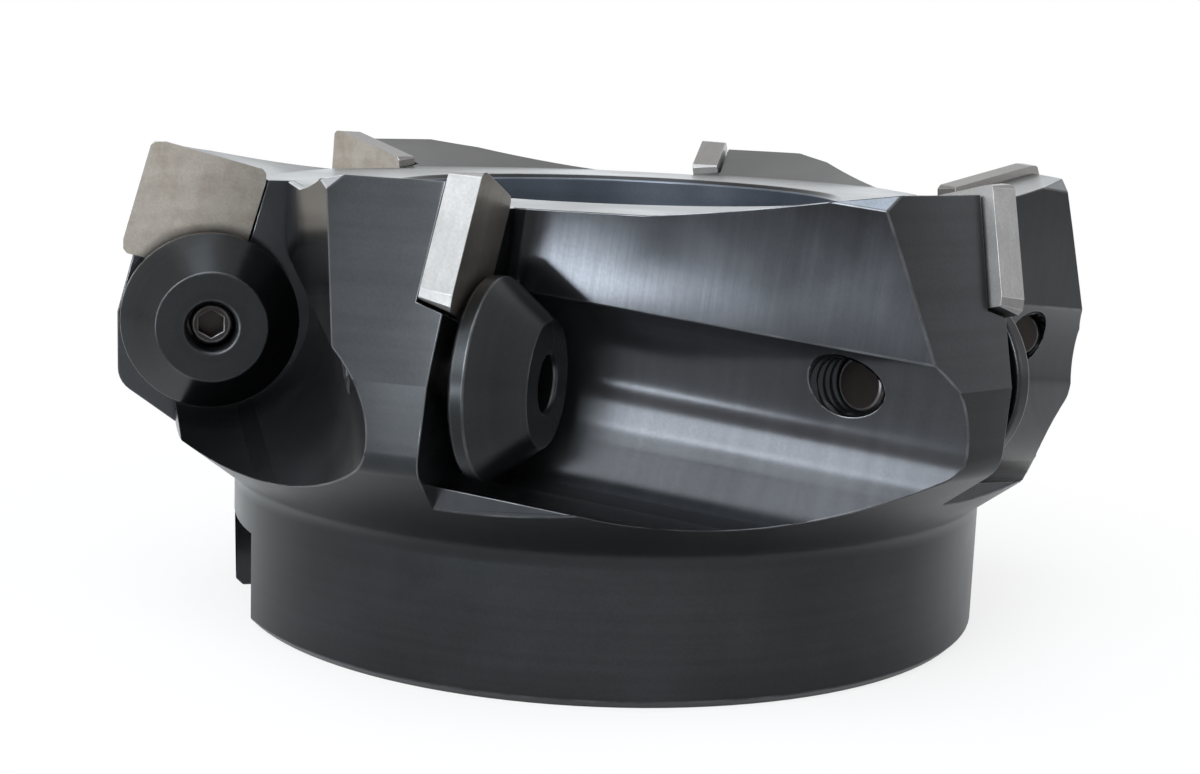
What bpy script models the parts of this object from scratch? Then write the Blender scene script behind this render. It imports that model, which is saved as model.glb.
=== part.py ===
# Indexable face mill with a 15 degree lead, six clamped square inserts.
# It stands on its drive face with the cutting end up; the axis is world Z.

import math

import bmesh
import bpy
from mathutils import Matrix, Vector

# Cutting geometry
TEETH = 6
CUT_RADIUS = 0.0508
TIP_HEIGHT = 0.0508
FIRST_TOOTH = math.radians(196.9)
LEAD_ANGLE = math.radians(15.0)
AXIAL_RAKE = math.radians(9.0)
RADIAL_RAKE = math.radians(2.0)

# Square insert
INSERT_EDGE = 0.0127
INSERT_THICKNESS = 0.003175
RELIEF_ANGLE = math.radians(11.0)
WIPER_LENGTH = 0.00145
CORNER_LAND = 0.0004

# Body of revolution
TIP_OVERHANG = 0.00135
FACE_DROP = 0.0013
RING_DROP = 0.0043
CONE_DROP = 0.0188
RIM_HEIGHT = 0.00765
RIM_ROUND = 0.003
UNDERSIDE_ANGLE = math.radians(37.5)
HUB_RADIUS = 0.042
HUB_FILLET = 0.0025
HUB_CHAMFER = 0.0008
BORE_RADIUS = 0.01905
BORE_CHAMFER = 0.0008
RECESS_RADIUS = 0.0245
RECESS_DEPTH = 0.016
RECESS_CHAMFER = 0.0005

# Drive keyway
KEY_WIDTH = 0.015875
KEY_DEPTH = 0.010

# Flute
FLUTE_TILT = math.radians(6.2)
FLUTE_TURN = math.radians(-1.2)
WALL_MARGIN = 0.0018
WALL_FILLET = 0.0016
LIP_RISE = 0.0009
TOOTH_SETBACK = 0.0014
TROUGH_MARGIN = 0.0013
OUTLET_START = 0.0036

# Round clamp
CLAMP_RADIUS = 0.0094
CLAMP_RIM = 0.0015
CLAMP_LENGTH = 0.0062
CLAMP_FACE_RADIUS = 0.0058
CLAMP_HOLE_RADIUS = 0.00255
CLAMP_EDGE = 0.0003
CLAMP_DROP = 0.0114
CLAMP_SHIFT = 0.0016
CLAMP_TILT = math.radians(1.0)
CLAMP_TURN = math.radians(-3.0)

# Clamp screw
BODY_HOLE_RADIUS = 0.0030
SCREW_SINK = 0.0012
SCREW_REACH = 0.0070
SCREW_EDGE = 0.0003
SOCKET_FLATS = 0.0025
SOCKET_DEPTH = 0.0024

# Clearance between neighbouring pieces
GAP = 0.0003

# Facets of the round surfaces
BODY_SEGMENTS = 120
CLAMP_SEGMENTS = 48
SCREW_SEGMENTS = 32
TROUGH_STEPS = 30
ARC_STEPS = 5

# Reach of a cutter beyond the metal it removes
OVERSHOOT = 0.004


def clear_scene():
    for old in list(bpy.data.objects):
        bpy.data.objects.remove(old, do_unlink=True)


def make_material(name, colour, metallic, roughness):
    material = bpy.data.materials.new(name)
    material.use_nodes = True
    shader = material.node_tree.nodes["Principled BSDF"]
    shader.inputs["Base Color"].default_value = (*colour, 1.0)
    shader.inputs["Metallic"].default_value = metallic
    shader.inputs["Roughness"].default_value = roughness
    return material


def mesh_from(bm, name, smooth_angle=None):
    bmesh.ops.recalc_face_normals(bm, faces=bm.faces)
    mesh = bpy.data.meshes.new(name)
    bm.to_mesh(mesh)
    bm.free()
    if smooth_angle is not None:
        mesh.shade_smooth()
        mesh.set_sharp_from_angle(angle=smooth_angle)
    return mesh


def add_object(name, mesh, matrix, material=None):
    piece = bpy.data.objects.new(name, mesh)
    bpy.context.scene.collection.objects.link(piece)
    piece.matrix_world = matrix
    if material is not None and not mesh.materials:
        mesh.materials.append(material)
    return piece


def turned(profile, segments):
    # closed outline of (radius, height) points turned about Z
    bm = bmesh.new()
    corners = [bm.verts.new((radius, 0.0, height)) for radius, height in profile]
    rim = [bm.edges.new((corners[i - 1], corners[i])) for i in range(len(corners))]
    bmesh.ops.spin(
        bm,
        geom=corners + rim,
        cent=(0.0, 0.0, 0.0),
        axis=(0.0, 0.0, 1.0),
        angle=2.0 * math.pi,
        steps=segments,
    )
    bmesh.ops.remove_doubles(bm, verts=bm.verts, dist=1e-6)
    return bm


def arc(centre, radius, start, end, steps):
    points = []
    for i in range(steps + 1):
        angle = start + (end - start) * i / steps
        points.append((centre[0] + radius * math.cos(angle), centre[1] + radius * math.sin(angle)))
    return points


def prism(outline, near, far):
    # outline of (x, z) points carried from y = near to y = far
    bm = bmesh.new()
    front = [bm.verts.new((x, near, z)) for x, z in outline]
    back = [bm.verts.new((x, far, z)) for x, z in outline]
    bm.faces.new(front)
    bm.faces.new(list(reversed(back)))
    for i in range(len(outline)):
        bm.faces.new((front[i - 1], back[i - 1], back[i], front[i]))
    return bm, front


def cut(body, name, mesh, matrix):
    cutter = add_object(name, mesh, matrix)
    cutter.hide_render = True
    cutter.display_type = "WIRE"
    step = body.modifiers.new(name, "BOOLEAN")
    step.operation = "DIFFERENCE"
    step.solver = "EXACT"
    step.object = cutter
    return cutter


def tip_matrix(tooth, turn, tilt):
    # origin on the sharp tip corner, X outward, Y in the cutting direction
    around = Matrix.Rotation(FIRST_TOOTH + tooth * 2.0 * math.pi / TEETH, 4, "Z")
    tip = Matrix.Translation((CUT_RADIUS, 0.0, TIP_HEIGHT))
    return around @ tip @ Matrix.Rotation(turn, 4, "Z") @ Matrix.Rotation(-tilt, 4, "X")


# Directions along the cutting edges, in the rake plane
EDGE_DOWN = Vector((math.sin(LEAD_ANGLE), -math.cos(LEAD_ANGLE)))
EDGE_IN = Vector((-math.cos(LEAD_ANGLE), -math.sin(LEAD_ANGLE)))


def insert_outline(edge, wiper, land):
    # corner facets: a wiper flat at the lead angle and a narrow land before it
    run = wiper * math.cos(LEAD_ANGLE)
    rise = wiper * math.sin(LEAD_ANGLE)
    centre = (EDGE_DOWN + EDGE_IN) * edge / 2.0
    points = []
    for side in range(4):
        turn = Matrix.Rotation(side * math.pi / 2.0, 2)
        ahead = turn @ EDGE_IN
        before = turn @ EDGE_DOWN
        corner = centre - (ahead + before) * edge / 2.0
        flat_start = corner + before * rise
        flat_end = corner + ahead * run
        along = (flat_end - flat_start).normalized()
        points.append(flat_start + before * land)
        points.append(flat_start + along * land)
        points.append(flat_end)
    return points


def shifted(points, distance):
    # outline moved outward by one distance on every side
    count = len(points)
    area = sum(points[i - 1].cross(points[i]) for i in range(count))
    hand = math.copysign(1.0, area)
    moved = []
    for i in range(count):
        first = (points[i] - points[i - 1]).normalized()
        second = (points[(i + 1) % count] - points[i]).normalized()
        out_first = Vector((first.y, -first.x)) * hand
        out_second = Vector((second.y, -second.x)) * hand
        bisector = (out_first + out_second).normalized()
        moved.append(points[i] + bisector * distance / bisector.dot(out_first))
    return moved


def taper(top, bottom, upper_y, lower_y):
    bm = bmesh.new()
    upper = [bm.verts.new((p.x, upper_y, p.y)) for p in top]
    lower = [bm.verts.new((p.x, lower_y, p.y)) for p in bottom]
    bm.faces.new(upper)
    bm.faces.new(list(reversed(lower)))
    for i in range(len(top)):
        bm.faces.new((upper[i - 1], lower[i - 1], lower[i], upper[i]))
    return bm


# Body blank
rim_radius = CUT_RADIUS - TIP_OVERHANG + CONE_DROP * math.tan(LEAD_ANGLE)
cone_base = TIP_HEIGHT - CONE_DROP
top_level = TIP_HEIGHT - FACE_DROP
top_radius = CUT_RADIUS - TIP_OVERHANG + FACE_DROP * math.tan(LEAD_ANGLE)
ring_level = TIP_HEIGHT - RING_DROP
ring_radius = top_radius - (RING_DROP - FACE_DROP) / math.tan(LEAD_ANGLE)
corner_level = cone_base - RIM_HEIGHT
hub_level = corner_level - (rim_radius - HUB_RADIUS) * math.tan(UNDERSIDE_ANGLE)
recess_floor = ring_level - RECESS_DEPTH


def rounded(corner, before, after, radius, steps):
    # arc that rounds one outline corner between two straight sides
    corner = Vector(corner)
    first = (Vector(before) - corner).normalized()
    second = (Vector(after) - corner).normalized()
    half = first.angle(second) / 2.0
    centre = corner + (first + second).normalized() * radius / math.sin(half)
    start = corner + first * radius / math.tan(half) - centre
    sweep = start.angle_signed(corner + second * radius / math.tan(half) - centre)
    points = []
    for i in range(steps + 1):
        spoke = start.copy()
        spoke.rotate(Matrix.Rotation(-sweep * i / steps, 2))
        points.append(tuple(centre + spoke))
    return points


def body_profile():
    rim_foot = (rim_radius, corner_level)
    hub_head = (HUB_RADIUS, hub_level)
    outline = [
        (BORE_RADIUS + BORE_CHAMFER, 0.0),
        (HUB_RADIUS - HUB_CHAMFER, 0.0),
        (HUB_RADIUS, HUB_CHAMFER),
    ]
    outline += rounded(hub_head, (HUB_RADIUS, 0.0), rim_foot, HUB_FILLET, ARC_STEPS)
    outline += rounded(rim_foot, hub_head, (rim_radius, cone_base), RIM_ROUND, ARC_STEPS)
    outline += [
        (rim_radius, cone_base),
        (top_radius, top_level),
        (ring_radius, ring_level),
        (RECESS_RADIUS + RECESS_CHAMFER, ring_level),
        (RECESS_RADIUS, ring_level - RECESS_CHAMFER),
        (RECESS_RADIUS, recess_floor),
        (BORE_RADIUS + BORE_CHAMFER, recess_floor),
        (BORE_RADIUS, recess_floor - BORE_CHAMFER),
        (BORE_RADIUS, BORE_CHAMFER),
    ]
    return outline


# Clamp seat, measured in the rake plane from the sharp tip corner
insert_centre = (EDGE_DOWN + EDGE_IN) * INSERT_EDGE / 2.0
seat_x = insert_centre.x - CLAMP_SHIFT
seat_z = insert_centre.y - CLAMP_DROP


def clamp_matrix(tooth):
    # back face of the clamp, its upper edge just clear of the rake face
    rake = tip_matrix(tooth, RADIAL_RAKE, AXIAL_RAKE)
    own = tip_matrix(tooth, CLAMP_TURN, CLAMP_TILT)
    rake_normal = rake.to_3x3().col[1]
    own_normal = own.to_3x3().col[1]
    lean = math.sin(rake_normal.angle(own_normal))
    origin = rake @ Vector((seat_x, CLAMP_RADIUS * lean + GAP, seat_z))
    axis_up = Matrix.Rotation(-math.pi / 2.0, 4, "X")
    return Matrix.Translation(origin) @ own.to_3x3().to_4x4() @ axis_up


# Flute outline, seen along the cutting direction
wall_x = -INSERT_EDGE * math.cos(LEAD_ANGLE) - WALL_MARGIN
trough_radius = CLAMP_RADIUS + TROUGH_MARGIN
flute_reach = CUT_RADIUS * 2.0
tooth_face = -TOOTH_SETBACK


def flute_outline():
    junction = math.acos((wall_x - seat_x) / trough_radius)
    outlet = 2.0 * math.pi - math.acos(OUTLET_START / trough_radius)
    sweep = arc((seat_x, seat_z), trough_radius, junction, outlet, TROUGH_STEPS)
    outlet_x = seat_x + OUTLET_START
    outer_x = rim_radius - CUT_RADIUS + OVERSHOOT * 2.0
    under_flange = hub_level - TIP_HEIGHT
    lip_top = LIP_RISE + OVERSHOOT * 2.0
    outline = [
        (outer_x, lip_top),
        (wall_x - (lip_top - LIP_RISE), lip_top),
        (wall_x, LIP_RISE),
    ]
    outline += sweep
    outline.append((outlet_x, under_flange))
    outline.append((outer_x, under_flange))
    return outline


def flute_mesh():
    bm, front = prism(flute_outline(), tooth_face, flute_reach)
    corner = bm.edges.get((front[2], front[3]))
    bmesh.ops.bevel(
        bm,
        geom=[corner],
        offset=WALL_FILLET,
        offset_type="OFFSET",
        segments=ARC_STEPS - 1,
        profile=0.5,
        affect="EDGES",
    )
    return mesh_from(bm, "flute_cutter")


def pocket_mesh():
    # seat of the insert, open toward the face and the outside
    back = GAP * 2.0 + OVERSHOOT
    depth = INSERT_THICKNESS + GAP
    narrowing = depth * math.tan(RELIEF_ANGLE)
    far_corner = (EDGE_DOWN + EDGE_IN) * INSERT_EDGE
    foot = EDGE_DOWN * back
    outline = []
    for spread in (GAP, GAP - narrowing):
        inner = far_corner + (EDGE_DOWN + EDGE_IN) * spread
        outer = inner - EDGE_IN * (INSERT_EDGE + foot.length)
        head = inner - EDGE_DOWN * (INSERT_EDGE + foot.length)
        outline.append([inner, outer, outer - EDGE_DOWN * (INSERT_EDGE + foot.length), head])
    front = [p + (p - q) * OVERSHOOT / depth for p, q in zip(outline[0], outline[1])]
    bm = taper(front, outline[1], OVERSHOOT, -depth)
    return mesh_from(bm, "pocket_cutter")


def insert_mesh():
    top = insert_outline(INSERT_EDGE, WIPER_LENGTH, CORNER_LAND)
    bottom = shifted(top, -INSERT_THICKNESS * math.tan(RELIEF_ANGLE))
    return mesh_from(taper(top, bottom, 0.0, -INSERT_THICKNESS), "insert")


def clamp_mesh():
    outline = [
        (CLAMP_HOLE_RADIUS, 0.0),
        (CLAMP_RADIUS - CLAMP_EDGE, 0.0),
        (CLAMP_RADIUS, CLAMP_EDGE),
        (CLAMP_RADIUS, CLAMP_RIM),
        (CLAMP_FACE_RADIUS, CLAMP_LENGTH),
        (CLAMP_HOLE_RADIUS + CLAMP_EDGE, CLAMP_LENGTH),
        (CLAMP_HOLE_RADIUS, CLAMP_LENGTH - CLAMP_EDGE),
    ]
    return mesh_from(turned(outline, CLAMP_SEGMENTS), "clamp", math.radians(30.0))


def screw_mesh():
    # stepped screw: the thin end in the clamp, the thick end in the tooth
    thin = CLAMP_HOLE_RADIUS - GAP
    thick = BODY_HOLE_RADIUS - GAP
    head = CLAMP_LENGTH - SCREW_SINK
    step = -GAP * 2.0
    outline = [
        (0.0, -SCREW_REACH),
        (thick - SCREW_EDGE, -SCREW_REACH),
        (thick, -SCREW_REACH + SCREW_EDGE),
        (thick, step - (thick - thin)),
        (thin, step),
        (thin, head - SCREW_EDGE),
        (thin - SCREW_EDGE, head),
        (0.0, head),
    ]
    bm = bmesh.new()
    corners = [bm.verts.new((radius, 0.0, height)) for radius, height in outline]
    sides = [bm.edges.new((corners[i], corners[i + 1])) for i in range(len(corners) - 1)]
    bmesh.ops.spin(
        bm,
        geom=corners + sides,
        cent=(0.0, 0.0, 0.0),
        axis=(0.0, 0.0, 1.0),
        angle=2.0 * math.pi,
        steps=SCREW_SEGMENTS,
    )
    bmesh.ops.remove_doubles(bm, verts=bm.verts, dist=1e-6)
    return mesh_from(bm, "clamp_screw", math.radians(30.0))


def socket_mesh():
    radius = SOCKET_FLATS / 2.0 / math.cos(math.pi / 6.0)
    head = CLAMP_LENGTH - SCREW_SINK
    bm = bmesh.new()
    bmesh.ops.create_cone(
        bm,
        cap_ends=True,
        segments=6,
        radius1=radius,
        radius2=radius,
        depth=SOCKET_DEPTH + OVERSHOOT,
        matrix=Matrix.Translation((0.0, 0.0, head - SOCKET_DEPTH + (SOCKET_DEPTH + OVERSHOOT) / 2.0)),
    )
    return mesh_from(bm, "socket_cutter")


def hole_mesh():
    # threaded hole through the tooth, open into the flute behind it
    length = SCREW_REACH + OVERSHOOT * 3.0
    bm = bmesh.new()
    bmesh.ops.create_cone(
        bm,
        cap_ends=True,
        segments=SCREW_SEGMENTS,
        radius1=BODY_HOLE_RADIUS,
        radius2=BODY_HOLE_RADIUS,
        depth=length,
        matrix=Matrix.Translation((0.0, 0.0, -length / 2.0)),
    )
    return mesh_from(bm, "hole_cutter")


def keyway_mesh():
    bm = bmesh.new()
    length = (HUB_RADIUS + OVERSHOOT) * 2.0
    height = KEY_DEPTH + OVERSHOOT
    size = Matrix.Diagonal((length, KEY_WIDTH, height, 1.0))
    bmesh.ops.create_cube(bm, size=1.0, matrix=Matrix.Translation((0.0, 0.0, KEY_DEPTH - height / 2.0)) @ size)
    return mesh_from(bm, "keyway_cutter")


clear_scene()

black_oxide = make_material("black_oxide_steel", (0.035, 0.037, 0.042), 1.0, 0.38)
clamp_steel = make_material("clamp_steel", (0.050, 0.050, 0.053), 1.0, 0.36)
screw_steel = make_material("screw_steel", (0.060, 0.045, 0.040), 1.0, 0.42)
carbide = make_material("ground_carbide", (0.48, 0.46, 0.43), 1.0, 0.40)

body_bm = turned(body_profile(), BODY_SEGMENTS)
body_mesh = mesh_from(body_bm, "cutter_body", math.radians(25.0))
body = add_object("cutter_body", body_mesh, Matrix.Identity(4), black_oxide)

flute = flute_mesh()
pocket = pocket_mesh()
hole = hole_mesh()
insert = insert_mesh()
clamp = clamp_mesh()
screw = screw_mesh()
socket = socket_mesh()

cut(body, "keyway_cutter", keyway_mesh(), Matrix.Rotation(FIRST_TOOTH, 4, "Z"))

for tooth in range(TEETH):
    label = str(tooth + 1)
    rake = tip_matrix(tooth, RADIAL_RAKE, AXIAL_RAKE)
    seat = clamp_matrix(tooth)
    cut(body, "flute_cutter_" + label, flute, tip_matrix(tooth, FLUTE_TURN, FLUTE_TILT))
    cut(body, "pocket_cutter_" + label, pocket, rake)
    cut(body, "hole_cutter_" + label, hole, seat)
    add_object("insert_" + label, insert, rake, carbide)
    add_object("clamp_" + label, clamp, seat, clamp_steel)
    clamp_screw = add_object("clamp_screw_" + label, screw, seat, screw_steel)
    cut(clamp_screw, "socket_cutter_" + label, socket, seat)
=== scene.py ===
import math

import bmesh
import bpy
from mathutils import Matrix, Vector


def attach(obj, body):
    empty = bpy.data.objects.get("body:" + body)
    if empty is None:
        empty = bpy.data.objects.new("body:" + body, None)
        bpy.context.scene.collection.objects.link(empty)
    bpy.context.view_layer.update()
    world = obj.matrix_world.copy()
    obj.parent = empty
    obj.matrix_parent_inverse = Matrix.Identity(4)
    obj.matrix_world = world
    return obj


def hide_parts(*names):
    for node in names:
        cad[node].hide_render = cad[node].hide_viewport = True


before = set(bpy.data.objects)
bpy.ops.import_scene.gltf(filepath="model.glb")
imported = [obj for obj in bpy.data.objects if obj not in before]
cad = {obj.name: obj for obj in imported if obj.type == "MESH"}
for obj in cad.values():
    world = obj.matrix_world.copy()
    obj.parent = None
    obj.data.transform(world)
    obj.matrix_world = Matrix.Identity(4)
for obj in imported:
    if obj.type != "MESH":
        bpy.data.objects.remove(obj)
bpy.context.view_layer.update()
scene = bpy.context.scene
scene.view_settings.view_transform = "Standard"

# The table and the light tent. A pale sheet lies under the cutter and a white tent stands round it;
# the camera looks slightly down on the first two teeth, as a catalogue picture does.
TABLE_HALF = 4.0
TABLE_COLOUR = (0.80, 0.80, 0.80)
TENT_FILL = 0.42
SHEET_IN_METAL = 0.35
SHEET_ROUGHNESS = 0.9
SHADE_FROM = 0.04
SHADE_TO = 0.10
SHADE_LIGHT = 0.80
LAMP_TINT = (0.86, 0.94, 1.0)
CAMERA_PLACE = (0.0, -0.21194, 0.05956)
CAMERA_TURN = (80.423, -2.1792, 0.6676)
CAMERA_LENS = 56.451
CAMERA_CLIP = 0.005
SENSOR_WIDTH = 36.0
NEAR_TEETH = (0.0, -0.03, 0.03)
CUTTER_MIDDLE = (0.0, 0.0, 0.03)
CUTTER_TOP = (0.0, 0.0, 0.04)


def wire(tree, source, target):
    tree.links.new(source, target)


def maths(tree, operation, first, second=None):
    step = tree.nodes.new("ShaderNodeMath")
    step.operation = operation
    for place, value in enumerate((first, second)):
        if value is None:
            continue
        if isinstance(value, (int, float)):
            step.inputs[place].default_value = value
        else:
            wire(tree, value, step.inputs[place])
    return step.outputs[0]


def remap(tree, value, low, high, to_low, to_high):
    step = tree.nodes.new("ShaderNodeMapRange")
    step.inputs["From Min"].default_value = low
    step.inputs["From Max"].default_value = high
    step.inputs["To Min"].default_value = to_low
    step.inputs["To Max"].default_value = to_high
    wire(tree, value, step.inputs["Value"])
    return step.outputs[0]


def seen_directly(tree, in_metal):
    # one for rays from the camera or through glass, and in_metal for rays that metal throws back
    path = tree.nodes.new("ShaderNodeLightPath")
    glossy = maths(tree, "MULTIPLY", path.outputs["Is Glossy Ray"], in_metal)
    direct = maths(tree, "MAXIMUM", path.outputs["Is Camera Ray"], glossy)
    return maths(tree, "MAXIMUM", direct, path.outputs["Is Transmission Ray"])


tent = bpy.data.worlds.new("light_tent")
tent.use_nodes = True
scene.world = tent
tent_tree = tent.node_tree
tent_strength = remap(tent_tree, seen_directly(tent_tree, 1.0), 0.0, 1.0, TENT_FILL, 1.0)
wire(tent_tree, tent_strength, tent_tree.nodes["Background"].inputs["Strength"])
tent_tree.nodes["Background"].inputs["Color"].default_value = (1.0, 1.0, 1.0, 1.0)

sheet = bpy.data.materials.new("pale_sheet")
sheet.use_nodes = True
sheet_tree = sheet.node_tree
sheet_paper = sheet_tree.nodes["Principled BSDF"]
sheet_paper.inputs["Base Color"].default_value = (*TABLE_COLOUR, 1.0)
sheet_paper.inputs["Roughness"].default_value = SHEET_ROUGHNESS
sheet_glow = sheet_tree.nodes.new("ShaderNodeEmission")
sheet_mix = sheet_tree.nodes.new("ShaderNodeMixShader")
sheet_place = sheet_tree.nodes.new("ShaderNodeTexCoord")
sheet_distance = sheet_tree.nodes.new("ShaderNodeVectorMath")
sheet_distance.operation = "LENGTH"
wire(sheet_tree, sheet_place.outputs["Object"], sheet_distance.inputs[0])
sheet_lit = remap(sheet_tree, sheet_distance.outputs["Value"], SHADE_FROM, SHADE_TO, SHADE_LIGHT, 1.0)
sheet_share = maths(sheet_tree, "MULTIPLY", seen_directly(sheet_tree, SHEET_IN_METAL), sheet_lit)
wire(sheet_tree, sheet_share, sheet_mix.inputs["Fac"])
wire(sheet_tree, sheet_paper.outputs[0], sheet_mix.inputs[1])
wire(sheet_tree, sheet_glow.outputs[0], sheet_mix.inputs[2])
wire(sheet_tree, sheet_mix.outputs[0], sheet_tree.nodes["Material Output"].inputs["Surface"])

table_mesh = bpy.data.meshes.new("table")
table_mesh.from_pydata(
    [(x * TABLE_HALF, y * TABLE_HALF, 0.0) for x, y in ((-1, -1), (1, -1), (1, 1), (-1, 1))],
    [],
    [(0, 1, 2, 3)],
)
table_mesh.materials.append(sheet)
table = bpy.data.objects.new("table", table_mesh)
scene.collection.objects.link(table)


def soft_lamp(name, place, aim, size, radiance):
    # a lit diffuser of one brightness over its whole face
    width, height = size
    lamp = bpy.data.lights.new(name, "AREA")
    lamp.shape = "RECTANGLE"
    lamp.size = width
    lamp.size_y = height
    lamp.energy = radiance * width * height * math.pi
    lamp.color = LAMP_TINT
    holder = bpy.data.objects.new(name, lamp)
    holder.location = place
    holder.rotation_euler = (Vector(aim) - Vector(place)).to_track_quat("-Z", "Y").to_euler()
    scene.collection.objects.link(holder)
    return holder


def lit_panel(name, place, turn, size, radiance):
    # a glowing panel that lies on the table, facing up
    holder = soft_lamp(name, place, (place[0], place[1], 1.0), size, radiance)
    holder.rotation_euler = (math.pi, 0.0, turn)
    return holder


soft_lamp("front_lamp", (-0.195, -0.482, 0.265), NEAR_TEETH, size=(0.26, 0.24), radiance=10.5)
soft_lamp("upper_lamp", (-0.185, -0.420, 0.440), NEAR_TEETH, size=(0.26, 0.22), radiance=5.0)
soft_lamp("overhead_lamp", (-0.06, -0.16, 0.60), NEAR_TEETH, size=(0.50, 0.44), radiance=3.2)
soft_lamp("left_lamp", (-0.480, -0.330, 0.210), CUTTER_MIDDLE, size=(0.30, 0.26), radiance=2.2)
soft_lamp("right_lamp", (0.560, -0.060, 0.180), CUTTER_MIDDLE, size=(0.30, 0.26), radiance=1.0)
soft_lamp("back_lamp", (0.0, 0.650, 0.130), CUTTER_TOP, size=(0.90, 0.20), radiance=1.0)
lit_panel("left_panel", (-0.211, -0.328, 0.002), math.radians(55.6), size=(0.18, 0.16), radiance=40.0)
lit_panel("side_panel", (-0.145, -0.170, 0.002), 0.0, size=(0.09, 0.09), radiance=3.2)

camera_data = bpy.data.cameras.new("camera")
camera_data.sensor_width = SENSOR_WIDTH
camera_data.lens = CAMERA_LENS
camera_data.clip_start = CAMERA_CLIP
camera = bpy.data.objects.new("camera", camera_data)
camera.location = CAMERA_PLACE
camera.rotation_euler = [math.radians(a) for a in CAMERA_TURN]
scene.collection.objects.link(camera)
scene.camera = camera

# The cutter body, one forging turned, milled and blackened. Its edges are broken by a file and
# rubbed bright; the turned faces keep fine rings and the flutes keep the lines of the mill.
TEETH = 6
FIRST_TOOTH = math.radians(196.9)
CUT_RADIUS = 0.0508
TIP_HEIGHT = 0.0508
AXIAL_RAKE = math.radians(9.0)
RADIAL_RAKE = math.radians(2.0)
FLUTE_TILT = math.radians(6.2)
FLUTE_TURN = math.radians(-1.2)
KEY_DEPTH = 0.010
TOOTH_BACK = 0.09
BORE_REACH = 0.0249
KEYWAY_REACH = 0.0415
DRIVE_FACE_LEVEL = 0.001
EDGE_BREAK = 0.00014
WELD = 2e-6
SAME_FACE = math.radians(0.5)
SMOOTH_WITHIN = math.radians(13.0)
ROUNDED_WITHIN = math.radians(50.0)
SPOKE_LEAN = 0.04
LEVEL_CUTS = [math.radians(angle) for angle in (8.0, 68.0, 128.0)]
BLACK_TURNED = (0.024, 0.025, 0.0265)
BLACK_MILLED = (0.036, 0.037, 0.040)
BLACK_GROUND = (0.027, 0.028, 0.031)
BARE_BORE = (0.075, 0.086, 0.106)
BARE_LIP = (0.125, 0.135, 0.155)
BRIGHT_EDGE = (0.42, 0.42, 0.43)
RINGS = (1.0, 1.0, 0.0)


def tooth_frame(tooth, turn, tilt):
    # origin on the sharp tip corner, X outward, Y in the cutting direction
    around = Matrix.Rotation(FIRST_TOOTH + tooth * 2.0 * math.pi / TEETH, 4, "Z")
    tip = Matrix.Translation((CUT_RADIUS, 0.0, TIP_HEIGHT))
    return around @ tip @ Matrix.Rotation(turn, 4, "Z") @ Matrix.Rotation(-tilt, 4, "X")


def solid_from(node, matrix, level_cuts=()):
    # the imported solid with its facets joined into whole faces, in its own frame; level rings are
    # first cut through at these angles, so that no face runs all the way round
    bm = bmesh.new()
    bm.from_mesh(cad[node].data)
    bm.transform(matrix.inverted())
    bmesh.ops.remove_doubles(bm, verts=bm.verts, dist=WELD)
    for turn in level_cuts:
        geometry = bm.verts[:] + bm.edges[:] + bm.faces[:]
        across = Vector((math.cos(turn), math.sin(turn), 0.0))
        halves = bmesh.ops.bisect_plane(
            bm, geom=geometry, dist=WELD, plane_co=(0.0, 0.0, 0.0), plane_no=across
        )
        for part in halves["geom_cut"]:
            if isinstance(part, bmesh.types.BMEdge):
                part.seam = all(abs(face.normal.z) > 0.999 for face in part.link_faces)
    bmesh.ops.dissolve_limit(bm, angle_limit=SAME_FACE, verts=bm.verts, edges=bm.edges, delimit={"SEAM"})
    bm.normal_update()
    return bm


def break_edges(bm, width, least_angle, segments):
    # rounds the outer edges and marks the rounded strips; the materials brighten them as rubbed wear, and
    # on the screws more strongly as painted glints
    strip_mark = bm.faces.layers.float.new("edge_strip_mark")
    sharp = []
    for edge in bm.edges:
        if len(edge.link_faces) == 2 and edge.calc_face_angle_signed() > least_angle:
            if edge.calc_length() > width:
                sharp.append(edge)
    result = bmesh.ops.bevel(
        bm,
        geom=sharp,
        offset=width,
        offset_type="OFFSET",
        segments=segments,
        profile=0.5,
        affect="EDGES",
        clamp_overlap=False,
        material=-1,
    )
    for face in result["faces"]:
        face[strip_mark] = 1.0


def flat_rule(centre, normal, corner):
    return normal


def turned_rule(centre, normal, corner):
    # a face of revolution round the piece's own Z keeps its slope all the way round
    out = Vector((centre.x, centre.y, 0.0)).normalized()
    if abs(normal.dot(Vector((-out.y, out.x, 0.0)))) > SPOKE_LEAN:
        return normal
    spoke = Vector((corner.x, corner.y, 0.0))
    if spoke.length < 1e-5:
        return normal
    return (spoke.normalized() * normal.dot(out) + Vector((0.0, 0.0, normal.z))).normalized()


def finished(bm, name, matrix, rule):
    # every corner takes the true normal of the largest face it runs smoothly into
    strip_mark = bm.faces.layers.float["edge_strip_mark"]
    bm.normal_update()
    bm.faces.index_update()
    normals = []
    facts = {}
    for face in bm.faces:
        weight = face.calc_area() ** 2
        facts[face.index] = (face.calc_center_median(), face.normal.copy(), weight, face[strip_mark] > 0.5)
    for face in bm.faces:
        own_normal, strip = facts[face.index][1], facts[face.index][3]
        for loop in face.loops:
            total = Vector((0.0, 0.0, 0.0))
            for other in loop.vert.link_faces:
                centre, normal, weight, other_strip = facts[other.index]
                reach = ROUNDED_WITHIN if strip or other_strip else SMOOTH_WITHIN
                if own_normal.angle(normal, 0.0) < reach:
                    total += rule(centre, normal, loop.vert.co) * weight
            normals.append(total.normalized())
    mesh = bpy.data.meshes.new(name)
    bm.to_mesh(mesh)
    bm.free()
    mesh.shade_smooth()
    mesh.normals_split_custom_set(normals)
    piece = bpy.data.objects.new(name, mesh)
    scene.collection.objects.link(piece)
    piece.matrix_world = matrix
    return piece


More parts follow.
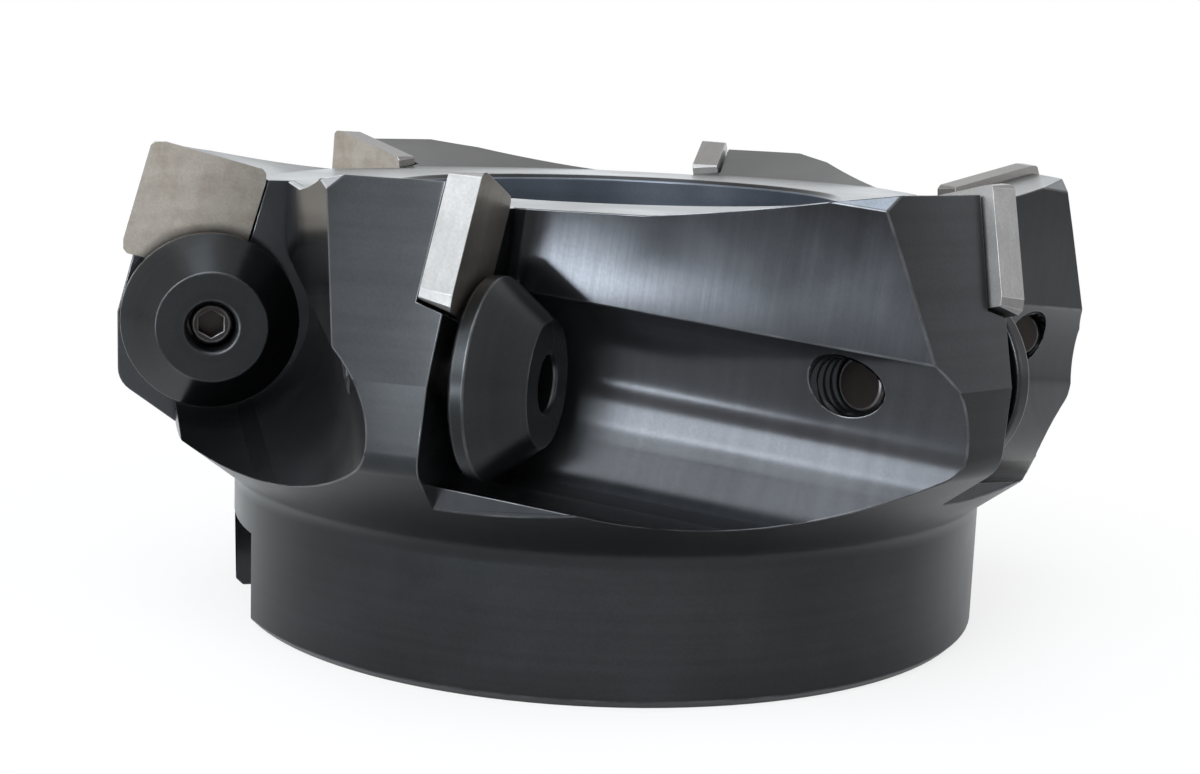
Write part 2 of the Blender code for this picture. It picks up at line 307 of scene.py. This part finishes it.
def new_group(name, inputs, outputs):
    group = bpy.data.node_groups.new(name, "ShaderNodeTree")
    for label, kind, value in inputs:
        socket = group.interface.new_socket(label, in_out="INPUT", socket_type=kind)
        if value is not None:
            socket.default_value = value
    for label, kind in outputs:
        group.interface.new_socket(label, in_out="OUTPUT", socket_type=kind)
    start = group.nodes.new("NodeGroupInput")
    end = group.nodes.new("NodeGroupOutput")
    return group, start, end


def noise_of(tree, vector, scale, detail, roughness):
    noise = tree.nodes.new("ShaderNodeTexNoise")
    noise.inputs["Scale"].default_value = scale
    noise.inputs["Detail"].default_value = detail
    noise.inputs["Roughness"].default_value = roughness
    wire(tree, vector, noise.inputs["Vector"])
    return noise.outputs["Fac"]


def build_rubbed_edges_and_glints():
    # marked strips, broken up so that the bright line comes and goes: rubbed wear, and on the screws
    # painted glints
    group, start, end = new_group(
        "rubbed_edges_and_glints",
        [("Vector", "NodeSocketVector", None), ("Amount", "NodeSocketFloat", 0.6)],
        [("Mask", "NodeSocketFloat")],
    )
    strip = group.nodes.new("ShaderNodeAttribute")
    strip.attribute_name = "edge_strip_mark"
    patches = noise_of(group, start.outputs["Vector"], 260.0, 3.0, 0.6)
    patchy = remap(group, patches, 0.40, 0.62, 0.25, 1.0)
    shown = maths(group, "MULTIPLY", strip.outputs["Fac"], patchy)
    wire(group, maths(group, "MULTIPLY", shown, start.outputs["Amount"]), end.inputs["Mask"])
    return group


def build_tool_lines():
    # fine parallel lines: the vector is stretched along the lines before it is read
    group, start, end = new_group(
        "tool_lines",
        [("Vector", "NodeSocketVector", None), ("Across", "NodeSocketVector", (1.0, 1.0, 1.0))],
        [("Height", "NodeSocketFloat"), ("Fine", "NodeSocketFloat"), ("Broad", "NodeSocketFloat")],
    )
    stretched = group.nodes.new("ShaderNodeVectorMath")
    stretched.operation = "MULTIPLY"
    wire(group, start.outputs["Vector"], stretched.inputs[0])
    wire(group, start.outputs["Across"], stretched.inputs[1])
    fine = noise_of(group, stretched.outputs[0], 4200.0, 2.0, 0.7)
    broad = noise_of(group, stretched.outputs[0], 900.0, 2.0, 0.5)
    fine_part = maths(group, "MULTIPLY", fine, 0.6)
    height = maths(group, "ADD", fine_part, maths(group, "MULTIPLY", broad, 0.4))
    wire(group, height, end.inputs["Height"])
    wire(group, fine, end.inputs["Fine"])
    wire(group, broad, end.inputs["Broad"])
    return group


def build_blotches():
    # uneven blackening: slow cloudy change and a fine grain
    group, start, end = new_group(
        "blotches",
        [("Vector", "NodeSocketVector", None)],
        [("Cloud", "NodeSocketFloat"), ("Grain", "NodeSocketFloat"), ("Stain", "NodeSocketFloat")],
    )
    wire(group, noise_of(group, start.outputs["Vector"], 90.0, 3.0, 0.55), end.inputs["Cloud"])
    wire(group, noise_of(group, start.outputs["Vector"], 3800.0, 2.0, 0.5), end.inputs["Grain"])
    patches = noise_of(group, start.outputs["Vector"], 330.0, 5.0, 0.62)
    wire(group, remap(group, patches, 0.44, 0.70, 0.0, 0.42), end.inputs["Stain"])
    return group


rubbed_edges_and_glints = build_rubbed_edges_and_glints()
tool_lines = build_tool_lines()
blotches = build_blotches()


def place_group(tree, group, vector):
    step = tree.nodes.new("ShaderNodeGroup")
    step.node_tree = group
    wire(tree, vector, step.inputs["Vector"])
    return step


def tooth_vector(tree, vector):
    # every tooth turned back onto the first, so that one set of lines serves all
    parts = tree.nodes.new("ShaderNodeSeparateXYZ")
    wire(tree, vector, parts.inputs[0])
    angle = maths(tree, "ARCTAN2", parts.outputs["Y"], parts.outputs["X"])
    pitch = 2.0 * math.pi / TEETH
    share = maths(tree, "DIVIDE", maths(tree, "SUBTRACT", angle, FIRST_TOOTH - TOOTH_BACK), pitch)
    turn = maths(tree, "ADD", maths(tree, "MULTIPLY", maths(tree, "FLOOR", share), pitch), FIRST_TOOTH)
    back = tree.nodes.new("ShaderNodeVectorRotate")
    back.rotation_type = "Z_AXIS"
    back.invert = True
    wire(tree, vector, back.inputs["Vector"])
    wire(tree, turn, back.inputs["Angle"])
    level = tree.nodes.new("ShaderNodeVectorRotate")
    level.rotation_type = "EULER_XYZ"
    level.invert = True
    level.inputs["Rotation"].default_value = (-FLUTE_TILT, 0.0, FLUTE_TURN)
    wire(tree, back.outputs[0], level.inputs["Vector"])
    return level.outputs[0]


def ring_vector(tree, vector):
    # distance from the axis and height, with the angle kept slow: rings of a lathe tool
    parts = tree.nodes.new("ShaderNodeSeparateXYZ")
    wire(tree, vector, parts.inputs[0])
    square = maths(tree, "MULTIPLY", parts.outputs["X"], parts.outputs["X"])
    squares = maths(tree, "ADD", square, maths(tree, "MULTIPLY", parts.outputs["Y"], parts.outputs["Y"]))
    joined = tree.nodes.new("ShaderNodeCombineXYZ")
    wire(tree, maths(tree, "SQRT", squares), joined.inputs["X"])
    wire(tree, parts.outputs["Z"], joined.inputs["Y"])
    return joined.outputs[0]


def steel(
    name, colour, roughness, metallic, vector_of, across, line_depth, grain_depth, wear_and_glint,
    streak=0.0, contrast=0.0, stain=None
):
    # blackened or bare metal: cloudy colour, tool lines in the relief, rubbed edges, which on the screws
    # are turned up into painted glints
    material = bpy.data.materials.new(name)
    material.use_nodes = True
    tree = material.node_tree
    shader = tree.nodes["Principled BSDF"]
    shader.inputs["Metallic"].default_value = metallic
    place = tree.nodes.new("ShaderNodeTexCoord").outputs["Object"]
    cloud = place_group(tree, blotches, place)
    lines = place_group(tree, tool_lines, vector_of(tree, place))
    lines.inputs["Across"].default_value = across
    rubbed_and_glint = place_group(tree, rubbed_edges_and_glints, place)
    rubbed_and_glint.inputs["Amount"].default_value = wear_and_glint
    shade = remap(tree, cloud.outputs["Cloud"], 0.3, 0.7, 0.86, 1.16)
    shade = maths(tree, "MULTIPLY", shade, remap(tree, lines.outputs["Broad"], 0.3, 0.7, 0.93, 1.08))
    shade = maths(tree, "MULTIPLY", shade, remap(tree, cloud.outputs["Grain"], 0.3, 0.7, 0.93, 1.08))
    if contrast > 0.0:
        shown = remap(tree, lines.outputs["Fine"], 0.34, 0.66, 1.0 - contrast, 1.0 + contrast)
        shade = maths(tree, "MULTIPLY", shade, shown)
    tinted = tree.nodes.new("ShaderNodeVectorMath")
    tinted.operation = "SCALE"
    tinted.inputs[0].default_value = colour
    wire(tree, shade, tinted.inputs["Scale"])
    ground = tinted.outputs[0]
    if stain is not None:
        stained = tree.nodes.new("ShaderNodeMix")
        stained.data_type = "RGBA"
        wire(tree, cloud.outputs["Stain"], stained.inputs["Factor"])
        wire(tree, ground, stained.inputs["A"])
        stained.inputs["B"].default_value = (*stain, 1.0)
        ground = stained.outputs["Result"]
    blend = tree.nodes.new("ShaderNodeMix")
    blend.data_type = "RGBA"
    wire(tree, rubbed_and_glint.outputs["Mask"], blend.inputs["Factor"])
    wire(tree, ground, blend.inputs["A"])
    blend.inputs["B"].default_value = (*BRIGHT_EDGE, 1.0)
    wire(tree, blend.outputs["Result"], shader.inputs["Base Color"])
    gloss = remap(tree, cloud.outputs["Cloud"], 0.3, 0.7, roughness - 0.03, roughness + 0.04)
    wire(tree, gloss, shader.inputs["Roughness"])
    line_relief = maths(tree, "MULTIPLY", lines.outputs["Height"], line_depth)
    relief = maths(tree, "ADD", line_relief, maths(tree, "MULTIPLY", cloud.outputs["Grain"], grain_depth))
    bump = tree.nodes.new("ShaderNodeBump")
    bump.inputs["Strength"].default_value = 1.0
    bump.inputs["Distance"].default_value = 1.0
    wire(tree, relief, bump.inputs["Height"])
    wire(tree, bump.outputs[0], shader.inputs["Normal"])
    if streak > 0.0:
        shader.inputs["Anisotropic"].default_value = streak
        around = tree.nodes.new("ShaderNodeTangent")
        around.direction_type = "RADIAL"
        around.axis = "Z"
        wire(tree, around.outputs[0], shader.inputs["Tangent"])
    return material


turned_black = steel(
    "turned_black_steel", BLACK_TURNED, roughness=0.30, metallic=0.85, vector_of=ring_vector,
    across=RINGS, line_depth=1e-6, grain_depth=1e-6, wear_and_glint=0.12
)
milled_black = steel(
    "milled_black_steel", BLACK_MILLED, roughness=0.19, metallic=0.82, vector_of=tooth_vector,
    across=(0.04, 1.0, 0.04), line_depth=0.2e-6, grain_depth=0.1e-6, wear_and_glint=0.14, streak=0.6
)
bore_steel = steel(
    "bore_steel", BARE_BORE, roughness=0.30, metallic=0.5, vector_of=ring_vector,
    across=RINGS, line_depth=2e-6, grain_depth=1e-6, wear_and_glint=0.1
)
ground_black = steel(
    "ground_black_steel", BLACK_GROUND, roughness=0.12, metallic=0.85, vector_of=tooth_vector,
    across=(0.04, 2.0, 0.04), line_depth=0.3e-6, grain_depth=0.1e-6, wear_and_glint=0.14, streak=0.8, contrast=0.09
)
bare_lip = steel(
    "bare_lip_steel", BARE_LIP, roughness=0.26, metallic=0.9, vector_of=ring_vector,
    across=RINGS, line_depth=1e-6, grain_depth=1e-6, wear_and_glint=0.2
)

TROUGH_CENTRE = Vector((-0.00609, -0.01918))
TROUGH_RADIUS = 0.0107
WALL_X = -0.01407
WALL_LENGTH = 0.040
WALL_HOLLOW = math.radians(4.5)
FLUTE_START = -0.002
FLUTE_END = 0.060
FLUTE_FLOOR = -0.03
LIP_SLOPE = 0.70
LIP_LEVEL = 0.046
LIP_AREA = 3e-6
flutes = [tooth_frame(tooth, FLUTE_TURN, FLUTE_TILT) for tooth in range(TEETH)]
flutes_back = [flute.inverted() for flute in flutes]


def on_wall(side, middle):
    return side.x > 0.999 and abs(middle.x - WALL_X) < 0.0003


def body_rule(centre, normal, corner):
    # the flute's wall, ground a little hollow, and its round trough, then the faces left by the lathe
    for flute, back in zip(flutes, flutes_back):
        middle = back @ centre
        if middle.y < FLUTE_START or middle.y > FLUTE_END or middle.x < FLUTE_FLOOR:
            continue
        side = flute.to_3x3().transposed() @ normal
        if on_wall(side, middle):
            hollow = WALL_HOLLOW * max(0.0, 1.0 - (back @ corner).y / WALL_LENGTH)
            return flute.to_3x3() @ Vector((math.cos(hollow), math.sin(hollow), 0.0))
        spoke = Vector((middle.x, middle.z)) - TROUGH_CENTRE
        if abs(side.y) < 0.01 and abs(spoke.length - TROUGH_RADIUS) < 0.0001:
            place = back @ corner
            out = Vector((place.x - TROUGH_CENTRE.x, 0.0, place.z - TROUGH_CENTRE.y)).normalized()
            if out.dot(side) < -0.9:
                return flute.to_3x3() @ -out
    return turned_rule(centre, normal, corner)


body_bm = solid_from("cutter_body", Matrix.Identity(4), LEVEL_CUTS)
break_edges(body_bm, EDGE_BREAK, math.radians(28.0), 2)
body_metals = [turned_black, milled_black, bore_steel, ground_black, bare_lip]
for face in body_bm.faces:
    centre = face.calc_center_median()
    sideways = Vector((-centre.y, centre.x, 0.0)).normalized()
    above_keyway = centre.z >= KEY_DEPTH + WELD
    far_out = Vector((centre.x, centre.y)).length >= KEYWAY_REACH
    in_keyway = not above_keyway and not far_out and centre.z > DRIVE_FACE_LEVEL
    metal = milled_black
    if abs(face.normal.dot(sideways)) < SPOKE_LEAN and not in_keyway:
        metal = turned_black
    reach = max(Vector((vertex.co.x, vertex.co.y)).length for vertex in face.verts)
    if reach < BORE_REACH and above_keyway:
        metal = bore_steel
    if abs(face.normal.z - LIP_SLOPE) < 0.02 and centre.z > LIP_LEVEL and face.calc_area() > LIP_AREA:
        metal = bare_lip
    for flute, back in zip(flutes, flutes_back):
        if on_wall(flute.to_3x3().transposed() @ face.normal, back @ centre):
            metal = ground_black
    face.material_index = body_metals.index(metal)
body = finished(body_bm, "milled_body", Matrix.Identity(4), body_rule)
for metal in body_metals:
    body.data.materials.append(metal)
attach(body, "root")
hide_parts("cutter_body")

# The six square inserts of ground carbide. Their faces keep the lines of the diamond wheel, and
# the cutting edges are honed just enough to show a thin bright line.
EDGE_HONE = 0.00005
CARBIDE_RAKE = (0.37, 0.335, 0.295)
RAKE_STAIN = (0.20, 0.15, 0.105)
CARBIDE_FLANK = (0.205, 0.198, 0.193)
WHEEL_LINES = (0.06, 1.0, 0.5)


def plain_vector(tree, vector):
    return vector


rake_carbide = steel(
    "rake_carbide", CARBIDE_RAKE, roughness=0.34, metallic=1.0, vector_of=plain_vector,
    across=WHEEL_LINES, line_depth=3e-6, grain_depth=2e-6, wear_and_glint=0.5, stain=RAKE_STAIN
)
flank_carbide = steel(
    "flank_carbide", CARBIDE_FLANK, roughness=0.36, metallic=1.0, vector_of=plain_vector,
    across=WHEEL_LINES, line_depth=3e-6, grain_depth=2e-6, wear_and_glint=0.5
)
for tooth in range(TEETH):
    label = str(tooth + 1)
    place = tooth_frame(tooth, RADIAL_RAKE, AXIAL_RAKE)
    insert_bm = solid_from("insert_" + label, place)
    break_edges(insert_bm, EDGE_HONE, math.radians(8.0), 1)
    for face in insert_bm.faces:
        face.material_index = 1 if face.normal.y > 0.95 else 0
    insert = finished(insert_bm, "carbide_insert_" + label, place, flat_rule)
    insert.data.materials.append(flank_carbide)
    insert.data.materials.append(rake_carbide)
    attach(insert, "root")
    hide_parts("insert_" + label)

# The clamps are turned steel wedges: a thin rim and a cone down to a flat face. Each is drawn onto
# its insert by a hardened socket screw, sunk in the clamp, that goes back through the tooth and
# shows in the next flute.
CLAMP_RADIUS = 0.0094
CLAMP_TILT = math.radians(1.0)
CLAMP_TURN = math.radians(-3.0)
CLAMP_GAP = 0.0003
HEAD_LEVEL = 0.002
HEAD_SINK = 0.0012
FOOT_LEVEL = -0.005
FOOT_REACH = 0.0050
CLAMP_BLACK = (0.018, 0.019, 0.020)
SCREW_BROWN = (0.021, 0.016, 0.015)
clamp_metal = steel(
    "clamp_steel", CLAMP_BLACK, roughness=0.28, metallic=0.85, vector_of=ring_vector,
    across=RINGS, line_depth=4e-6, grain_depth=1e-6, wear_and_glint=0.10
)
# The screws' bright edge strips are set far stronger than the body's: beyond a little rubbed wear, they
# are painted glints on the socket and end rims.
screw_metal_with_glints = steel(
    "screw_steel", SCREW_BROWN, roughness=0.34, metallic=0.75, vector_of=plain_vector,
    across=(1.0, 1.0, 1.0), line_depth=2e-6, grain_depth=1e-6, wear_and_glint=0.45
)


def clamp_frame(tooth):
    # origin on the axis at the clamp's back face, Z along the axis toward its front face
    rake = tooth_frame(tooth, RADIAL_RAKE, AXIAL_RAKE)
    own = tooth_frame(tooth, CLAMP_TURN, CLAMP_TILT)
    lean = math.sin(rake.to_3x3().col[1].angle(own.to_3x3().col[1]))
    back = rake @ Vector((TROUGH_CENTRE.x, CLAMP_RADIUS * lean + CLAMP_GAP, TROUGH_CENTRE.y))
    return Matrix.Translation(back) @ own.to_3x3().to_4x4() @ Matrix.Rotation(-math.pi / 2.0, 4, "X")


for tooth in range(TEETH):
    label = str(tooth + 1)
    place = clamp_frame(tooth)
    clamp_bm = solid_from("clamp_" + label, place)
    break_edges(clamp_bm, EDGE_BREAK, math.radians(25.0), 2)
    clamp = finished(clamp_bm, "wedge_clamp_" + label, place, turned_rule)
    clamp.data.materials.append(clamp_metal)
    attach(clamp, "root")
    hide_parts("clamp_" + label)

    screw_bm = solid_from("clamp_screw_" + label, place)
    for vertex in screw_bm.verts:
        if vertex.co.z > HEAD_LEVEL:
            vertex.co.z -= HEAD_SINK
        elif vertex.co.z < FOOT_LEVEL:
            vertex.co.z -= FOOT_REACH
    break_edges(screw_bm, EDGE_BREAK, math.radians(25.0), 2)
    screw = finished(screw_bm, "socket_screw_" + label, place, turned_rule)
    screw.data.materials.append(screw_metal_with_glints)
    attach(screw, "root")
    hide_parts("clamp_screw_" + label)

# The screw holes are tapped right through the teeth, in the body's own steel. Where a hole opens
# into the flute behind its tooth, the last turns of the thread show.
THREAD_RADIUS = 0.00296
THREAD_DEPTH = 0.00034
THREAD_PITCH = 0.0010
THREAD_START = -0.0072
THREAD_REACH = 0.030
THREAD_ROWS = 90
THREAD_SPOKES = 64
FADE_ROWS = 6.0
HALVINGS = 24


def open_end(tooth, place, out):
    # how far back along the hole one line of its wall runs before it opens into the flute
    flute = flutes_back[(tooth - 1) % TEETH]
    near = THREAD_START
    far = THREAD_START - THREAD_REACH
    for step in range(HALVINGS):
        middle = (near + far) / 2.0
        seen = flute @ (place @ Vector((out.x, out.y, middle)))
        spoke = Vector((seen.x, seen.z)) - TROUGH_CENTRE
        if spoke.length > TROUGH_RADIUS:
            near = middle
        else:
            far = middle
    return near


def thread_height(along, angle):
    turn = (along / THREAD_PITCH + angle / (2.0 * math.pi)) % 1.0
    return THREAD_DEPTH * min(1.0, 1.6 * (1.0 - abs(2.0 * turn - 1.0)))


for tooth in range(TEETH):
    label = str(tooth + 1)
    place = clamp_frame(tooth)
    thread_bm = bmesh.new()
    columns = []
    for spoke in range(THREAD_SPOKES):
        angle = 2.0 * math.pi * spoke / THREAD_SPOKES
        out = Vector((math.cos(angle), math.sin(angle), 0.0))
        end = open_end(tooth, place, out * THREAD_RADIUS)
        column = []
        for row in range(THREAD_ROWS + 1):
            along = THREAD_START + (end - THREAD_START) * row / THREAD_ROWS
            fade = min(1.0, (THREAD_ROWS - row) / FADE_ROWS)
            spread = THREAD_RADIUS - thread_height(along, angle) * fade
            column.append(thread_bm.verts.new((out.x * spread, out.y * spread, along)))
        columns.append(column)
    for spoke in range(THREAD_SPOKES):
        left = columns[spoke]
        right = columns[(spoke + 1) % THREAD_SPOKES]
        for row in range(THREAD_ROWS):
            thread_bm.faces.new((left[row], left[row + 1], right[row + 1], right[row]))
    thread_bm.faces.layers.float.new("edge_strip_mark")
    thread_mesh = bpy.data.meshes.new("hole_thread_" + label)
    thread_bm.to_mesh(thread_mesh)
    thread_bm.free()
    thread_mesh.shade_smooth()
    thread = bpy.data.objects.new("hole_thread_" + label, thread_mesh)
    scene.collection.objects.link(thread)
    thread.matrix_world = place
    thread_mesh.materials.append(clamp_metal)
    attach(thread, "root")
